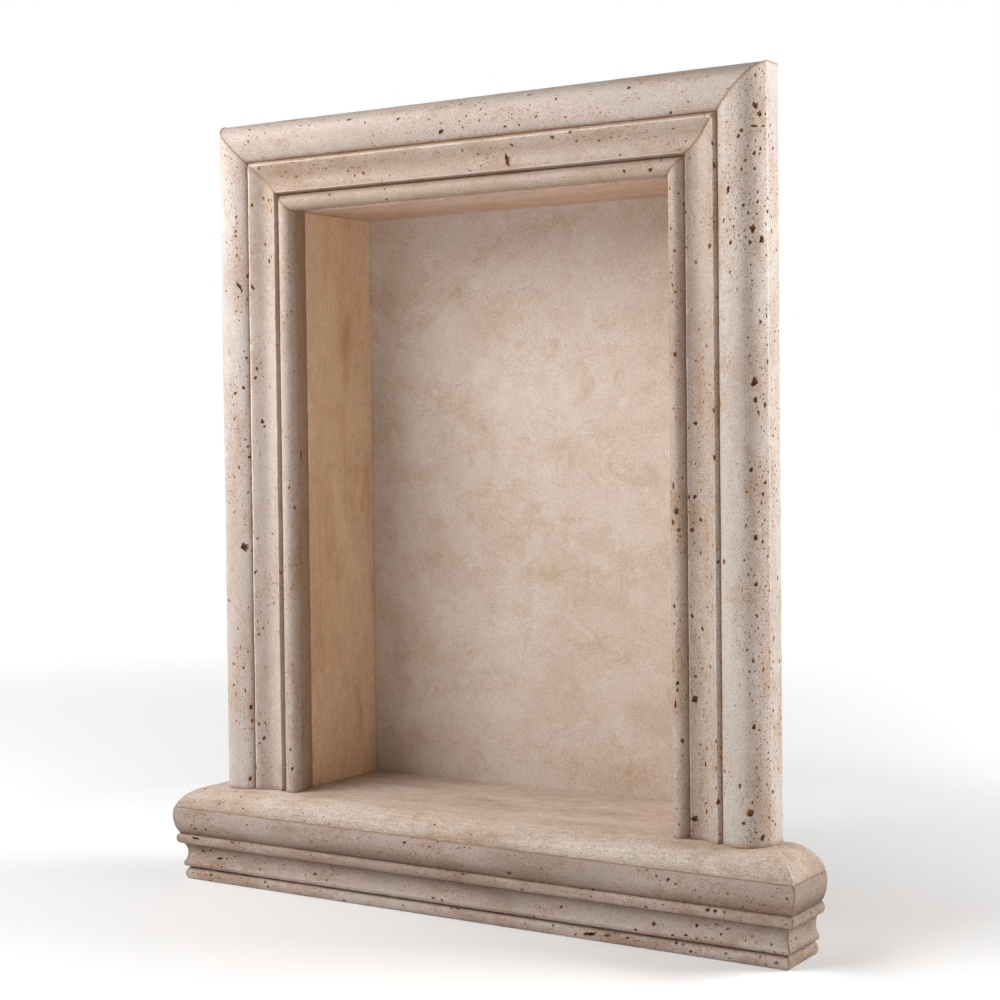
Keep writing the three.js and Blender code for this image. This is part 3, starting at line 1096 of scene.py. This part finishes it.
jamb_right = moulded_stone(
    "jamb_right", "frame_jamb_right", Z, lambda p: abs(p.x) + p.y, lambda p: -p.y,
    is_back_of_jamb, 11)
jamb_left = moulded_stone(
    "jamb_left", "frame_jamb_left", Z, lambda p: abs(p.x) + p.y, lambda p: -p.y,
    is_back_of_jamb, 12)
head = moulded_stone(
    "head", "frame_head", X, lambda p: p.z + p.y, lambda p: -p.y, is_back_of_head, 13)
carve(jamb_right, "frame_jamb_right", "frame_right", 4000, FRAME_SHADE_AND_STAIN,
      RIGHT_JAMB_BANDS, RIGHT_JAMB_CLUSTERS, RIGHT_JAMB_CAVITIES)
carve(jamb_left, "frame_jamb_left", "frame_left", 2500, FRAME_SHADE_AND_STAIN,
      LEFT_JAMB_BANDS, LEFT_JAMB_CLUSTERS, LEFT_JAMB_CAVITIES)
carve(head, "frame_head", "frame_top", 2200, FRAME_SHADE_AND_STAIN,
      HEAD_BANDS, HEAD_CLUSTERS, HEAD_CAVITIES)


# The sill's lower moulding and its returns. Its cavities, painted shade and stain, bands and
# clusters are given as the frame's are.

SILL_CAVITIES = (
    (90, -250, 8.0, 1.8, 0), (91, -212, 5.0, 2.0, 0), (75.5, -248, 3.4, 2.6, 0),
    (77, -240, 3.0, 2.6, 0), (71.5, -230, 6.0, 1.8, 0), (53, -239, 3.0, 2.4, 0),
    (50.5, -180, 2.6, 2.2, 0), (70, -133.5, 3.2, 2.6, 0), (101, -65, 2.8, 2.0, 0),
    (98, 49, 3.6, 2.4, 0), (52, 112, 8.0, 3.0, -10), (50.5, 119, 6.0, 3.2, 20),
    (53, 127, 5.0, 2.2, -10), (70, 163.5, 3.6, 2.4, 0),
    (73, 196.5, 2.8, 2.4, 0), (90, 208, 3.2, 2.8, 0), (90, 213.5, 3.0, 2.6, 0))
# Painted shade under the nose and the bead, down the cove and in the quirks, with some dirt
SILL_SHADE_AND_STAIN = ((56.0, 0.2), (58.0, 1.0), (62.0, 0.4), (64.5, 0.0), (68.0, 0.15), (74.0, 0.5),
              (79.0, 0.85), (81.0, 1.0), (83.0, 0.3), (85.0, 0.0), (91.0, 0.1), (93.0, 1.0),
              (96.0, 0.82), (104.0, 0.45), (110.0, 0.15), (114.0, 0.0))
SILL_BANDS = ((52, 6, 0.3), (87, 6, 0.28), (106, 9, -0.12))
SILL_CLUSTERS = (
    (51, -238, 20, 0.9), (88, -235, 18, 0.8), (70, -235, 14, 0.6), (51, 120, 16, 0.6),
    (51, 225, 20, 0.9), (88, 212, 16, 0.7))


def hidden_in_sill(point, facing):
    return facing.x > 0.9 or abs(facing.y) > 0.9


def hidden_in_return(point, facing):
    return abs(facing.y) > 0.9 or (abs(facing.x) > 0.9 and abs(facing.y) < 0.1
                                   and facing.x * point.x < 0)


sill_front = moulded_stone(
    "sill_front", "sill_moulding_front", X, lambda p: p.y - p.z, lambda p: -p.y,
    hidden_in_sill, 21)
carve(sill_front, "sill_moulding_front", "sill", 3400, SILL_SHADE_AND_STAIN, SILL_BANDS,
      SILL_CLUSTERS, SILL_CAVITIES)
for side, node, seed in ((1, "sill_return_right", 22), (-1, "sill_return_left", 23)):
    stone = moulded_stone(
        "sill_end_right" if side > 0 else "sill_end_left", node, Y,
        lambda p: -abs(p.x) - p.z, lambda p: abs(p.x), hidden_in_return, seed)
    carve(stone, node, "sill_end", 320, SILL_SHADE_AND_STAIN, SILL_BANDS,
          end_stain=(END_STAIN, 0.0))


# Filler in the joints between the stones

def filler(name, ring, depth):
    """A closed piece from a ring of corners, each carried on by a depth."""
    count = len(ring)
    corners = [*ring, *(corner + depth for corner in ring)]
    faces = [(i, (i + 1) % count, (i + 1) % count + count, i + count) for i in range(count)]
    faces += [tuple(reversed(range(count))), tuple(range(count, 2 * count))]
    mesh = bpy.data.meshes.new(name)
    mesh.from_pydata([corner / METRE for corner in corners], [], faces)
    if mesh.validate():
        mesh.update()
    mesh.materials.append(finishes["joint"])
    piece = add_object(name, mesh)
    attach(piece, "root")


def end_filler(name, stone, end, gap):
    """Filler over a stone's end, a little inside its outline, as deep as the joint."""
    ring = []
    for column in stone.columns[:-1]:
        point = column.point - column.normal * FILLER_RECESS
        ring.append(stone.lift(point, getattr(column, end)))
    overlap = math.copysign(FILLER_OVERLAP, gap)
    back = stone.lift((0.0, 0.0), -overlap)
    filler(name, [corner + back for corner in ring], stone.lift((0.0, 0.0), gap + 2 * overlap))


end_filler("filler_of_right_foot", jamb_right, "near", -FOOT_JOINT)
end_filler("filler_of_left_foot", jamb_left, "near", -FOOT_JOINT)
end_filler("filler_of_right_mitre", jamb_right, "far", MITRE_JOINT)
end_filler("filler_of_left_mitre", jamb_left, "far", MITRE_JOINT)
end_filler("filler_of_right_sill_mitre", sill_front, "far", MITRE_JOINT)
end_filler("filler_of_left_sill_mitre", sill_front, "near", -MITRE_JOINT)


# The slab: a nose on three sides, and a floor that runs back inside the wall

def slab_outline():
    """The nose's outline as (y, z) points from the underside up, and the line of its mitres."""
    corners, _ = solid("sill_slab")
    widest = min(corners, key=lambda corner: (round(corner.y, 2), -corner.x))
    base = widest.x + widest.y
    nose = [c for c in corners if c.y < -1 and abs(c.x + c.y - base) < 0.02]
    return [Vector((c.y, c.z)) for c in sorted(nose, key=lambda c: (c.z, -c.y))], base


# Painted shade on the nose: how far above its lower edge, and how dark the stone is there
SLAB_PAINTED_SHADE = ((0.0, 0.75), (5.0, 0.56), (11.0, 0.28), (17.0, 0.06), (20.0, 0.0))


def make_slab():
    """One surface from side to side and one round the nose of each end, as one piece."""
    nose, base = slab_outline()
    low, high = [Vector(corner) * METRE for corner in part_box("sill_slab")]
    box_half = max(c.x for c in solid("sill_slab")[0] if c.y > 1)
    under, top = low.z, high.z
    loop = [Vector((high.y, under)), Vector((0.0, under)), *nose, Vector((0.0, top)),
            Vector((high.y, top))]
    wall_points = (1, len(loop) - 2)

    def half_width(point):
        return base - point.x if point.x < 1e-6 else box_half

    def hides(point, facing):
        return facing.y < -0.9 or facing.x > 0.9

    columns = columns_round(loop, lambda p: -half_width(p), half_width, hides, wall_points)

    # In the wall the slab is narrower, so its width steps in where it meets the wall's face
    stepped = []
    for column in columns:
        stepped.append(column)
        if abs(column.point.x) < 1e-6:
            inner = SimpleNamespace(**vars(column))
            inner.near, inner.far = -box_half, box_half
            at_top = column.point.y > (under + top) / 2
            stepped[-1:] = [column, inner] if at_top else [inner, column]

    # The underside comes first, so this is where the nose starts
    hairline = high.y - nose[0].x
    # Painted shade on the nose, darkest at its lower edge
    stain_and_shade(columns, [(hairline + away, amount) for away, amount in SLAB_PAINTED_SHADE])
    stain_and_shade(stepped, [(hairline + away, amount) for away, amount in SLAB_PAINTED_SHADE])
    front = Stone("slab", X, stepped, 31)
    front.scatter(900, smallest=0.27, largest=0.9)
    parts = [front.surface()]

    # The same nose again on each end, turned to run along the other axis
    ahead = [column for column in columns if column.point.x < 1e-6]
    for side in (1, -1):
        turned = []
        for column in ahead:
            copy = SimpleNamespace(**vars(column))
            copy.point = Vector((side * (base - column.point.x), column.point.y))
            copy.normal = Vector((-side * column.normal.x, column.normal.y))
            copy.near, copy.far = column.point.x, 0.0
            turned.append(copy)
        end = Stone("slab_end", Y, turned, 32 + side)
        end.shift = front.shift
        end.scatter(70, smallest=0.27, largest=0.9)
        parts.append(end.surface())
    planes = [(Vector((0, 1, 0)), Vector((0, 0, 0)))]
    planes += [(Vector((1, 0, 0)), Vector((side * box_half, 0, 0))) for side in (1, -1)]
    finish_piece("slab", joined(parts), planes, "sill_slab", finishes["slab"])


def fill_under_slab():
    nose, base = slab_outline()
    side = base - nose[0].x - FILLER_RECESS
    front = nose[0].x + FILLER_RECESS
    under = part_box("sill_slab")[0][Z] * METRE
    top_of_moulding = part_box("sill_moulding_front")[1][Z] * METRE
    level = top_of_moulding - FILLER_OVERLAP
    plate = [(-side, FILLER_BACK), (-side, front), (side, front), (side, FILLER_BACK)]
    filler("filler_under_slab", [Vector((x, y, level)) for x, y in plate],
           Vector((0.0, 0.0, under - top_of_moulding + 2 * FILLER_OVERLAP)))


make_slab()
fill_under_slab()


# The panels that line the recess. Each is given with the way that its outer face looks, in
# its section, and its number of pinholes.

for name, node, axis, behind, slot, material, seed, count in (
        ("panel_of_left_side", "panel_left", Z, (-1, 0), "honed_side", "side", 41, 30),
        ("panel_of_right_side", "panel_right", Z, (1, 0), "honed_side", "side", 42, 30),
        ("panel_of_ceiling", "panel_top", X, (0, 1), "honed_side", "ceiling", 43, 30),
        ("panel_of_back", "panel_back", X, (1, 0), "honed_back", "back", 44, 60)):
    points, near, far = moulded_section(node, axis, lambda p: p.x + p.y + p.z, lambda p: -p.y)
    columns = columns_round(points, near, far, lambda point, facing: False,
                            across_step=PANEL_STEP)
    # The faces that look away from the room get painted shade, darker than the inner faces of the
    # same stone
    for column in columns:
        if column.normal.dot(Vector(behind)) > 0.6:
            column.edge = -BACK_SHADE
    stone = Stone(name, axis, columns, seed, PANEL_STEP)
    stone.scatter(count, smallest=0.2, largest=0.5)
    finish_piece(name, joined([stone.surface()]), end_planes(stone), node, finishes[material])


# Stage, light and camera

FLOOR_GAP = 0.0002


def stage_floor(level):
    """A pale floor that glows far off, so that it runs into the backdrop."""
    finish = Finish("studio_floor")
    haze = finish.noise(finish.coords, 3.0)
    finish.feed(finish.shader.inputs["Base Color"], finish.ramp(haze, [(0.3, 0.8), (0.7, 0.82)]))
    finish.shader.inputs["Roughness"].default_value = 0.9
    finish.shader.inputs["Emission Color"].default_value = (1.0, 1.0, 1.0, 1.0)
    gradient = finish.node("ShaderNodeTexGradient", {"Vector": finish.stretched(
        (0.0, 0.0, 0.0), (0.4, 0.4, 0.4))}, gradient_type="SPHERICAL")
    glow = finish.ramp(gradient.outputs["Fac"], [(0.0, 1.0), (0.3, 0.7), (0.75, 0.03)])
    finish.feed(finish.shader.inputs["Emission Strength"], glow)
    mesh = bpy.data.meshes.new("studio_floor")
    reach = 60.0
    corners = [(-reach, -reach, level), (reach, -reach, level), (reach, reach, level),
               (-reach, reach, level)]
    mesh.from_pydata(corners, [], [(0, 1, 2, 3)])
    mesh.materials.append(finish.material)
    floor = add_object("studio_floor", mesh)


def area_light(name, azimuth, elevation, distance, size, power):
    """A square lamp that looks at the middle of the niche, in degrees, metres and watts."""
    middle = (Vector(cad_box[0]) + Vector(cad_box[1])) / 2
    a, e = math.radians(azimuth), math.radians(elevation)
    away = Vector((math.sin(a) * math.cos(e), -math.cos(a) * math.cos(e), math.sin(e)))
    data = bpy.data.lights.new(name, "AREA")
    data.shape = "SQUARE"
    data.size = size
    data.energy = power
    lamp = add_object(name, data)
    lamp.matrix_world = Matrix.Translation(middle + away * distance) @ away.to_track_quat(
        "Z", "Y").to_matrix().to_4x4()


def studio_world():
    """Faint warm light from all round, behind a white backdrop."""
    world = bpy.data.worlds.new("studio")
    world.use_nodes = True
    tree = world.node_tree
    soft = tree.nodes["Background"]
    soft.inputs["Color"].default_value = (1.0, 0.985, 0.97, 1.0)
    soft.inputs["Strength"].default_value = 0.06
    backdrop = tree.nodes.new("ShaderNodeBackground")
    backdrop.inputs["Color"].default_value = (1.0, 1.0, 1.0, 1.0)
    path = tree.nodes.new("ShaderNodeLightPath")
    mix = tree.nodes.new("ShaderNodeMixShader")
    tree.links.new(path.outputs["Is Camera Ray"], mix.inputs[0])
    tree.links.new(soft.outputs[0], mix.inputs[1])
    tree.links.new(backdrop.outputs[0], mix.inputs[2])
    tree.links.new(mix.outputs[0], tree.nodes["World Output"].inputs["Surface"])
    bpy.context.scene.world = world


# The camera, with its focal length and middle in picture points, and its place in millimetres
PHOTO_SIZE = 1000.0
FOCAL = 1919.5
MIDDLE = (479.9, 481.2)
CAMERA_PLACE = Vector((785.3, -1222.6, 331.6))
AZIMUTH, PITCH, ROLL = (math.radians(angle) for angle in (32.95, 1.47, -0.64))


def photo_camera():
    forward = Vector((-math.sin(AZIMUTH) * math.cos(PITCH), math.cos(AZIMUTH) * math.cos(PITCH),
                      -math.sin(PITCH)))
    level = Vector((math.cos(AZIMUTH), math.sin(AZIMUTH), 0.0))
    upward = level.cross(forward)
    right = level * math.cos(ROLL) + upward * math.sin(ROLL)
    up = upward * math.cos(ROLL) - level * math.sin(ROLL)
    data = bpy.data.cameras.new("camera")
    data.sensor_width = 36.0
    data.lens = data.sensor_width * FOCAL / PHOTO_SIZE
    data.shift_x = (PHOTO_SIZE / 2 - MIDDLE[0]) / PHOTO_SIZE
    data.shift_y = (MIDDLE[1] - PHOTO_SIZE / 2) / PHOTO_SIZE
    data.clip_end = 200.0
    camera = add_object("camera", data)
    turn = Matrix((right, up, -forward)).transposed()
    camera.matrix_world = Matrix.Translation(CAMERA_PLACE / METRE) @ turn.to_4x4()
    bpy.context.scene.camera = camera


stage_floor(cad_box[0][Z] - FLOOR_GAP)
area_light("key", -34, 34, 1.6, 1.0, 22.0)
area_light("left", -65, 35, 1.25, 0.8, 8.8)
area_light("fill", 30, 4, 1.9, 1.0, 3.5)
area_light("side", 122, 19, 1.9, 1.0, 47.0)
studio_world()
photo_camera()
bpy.context.scene.view_settings.view_transform = "Standard"
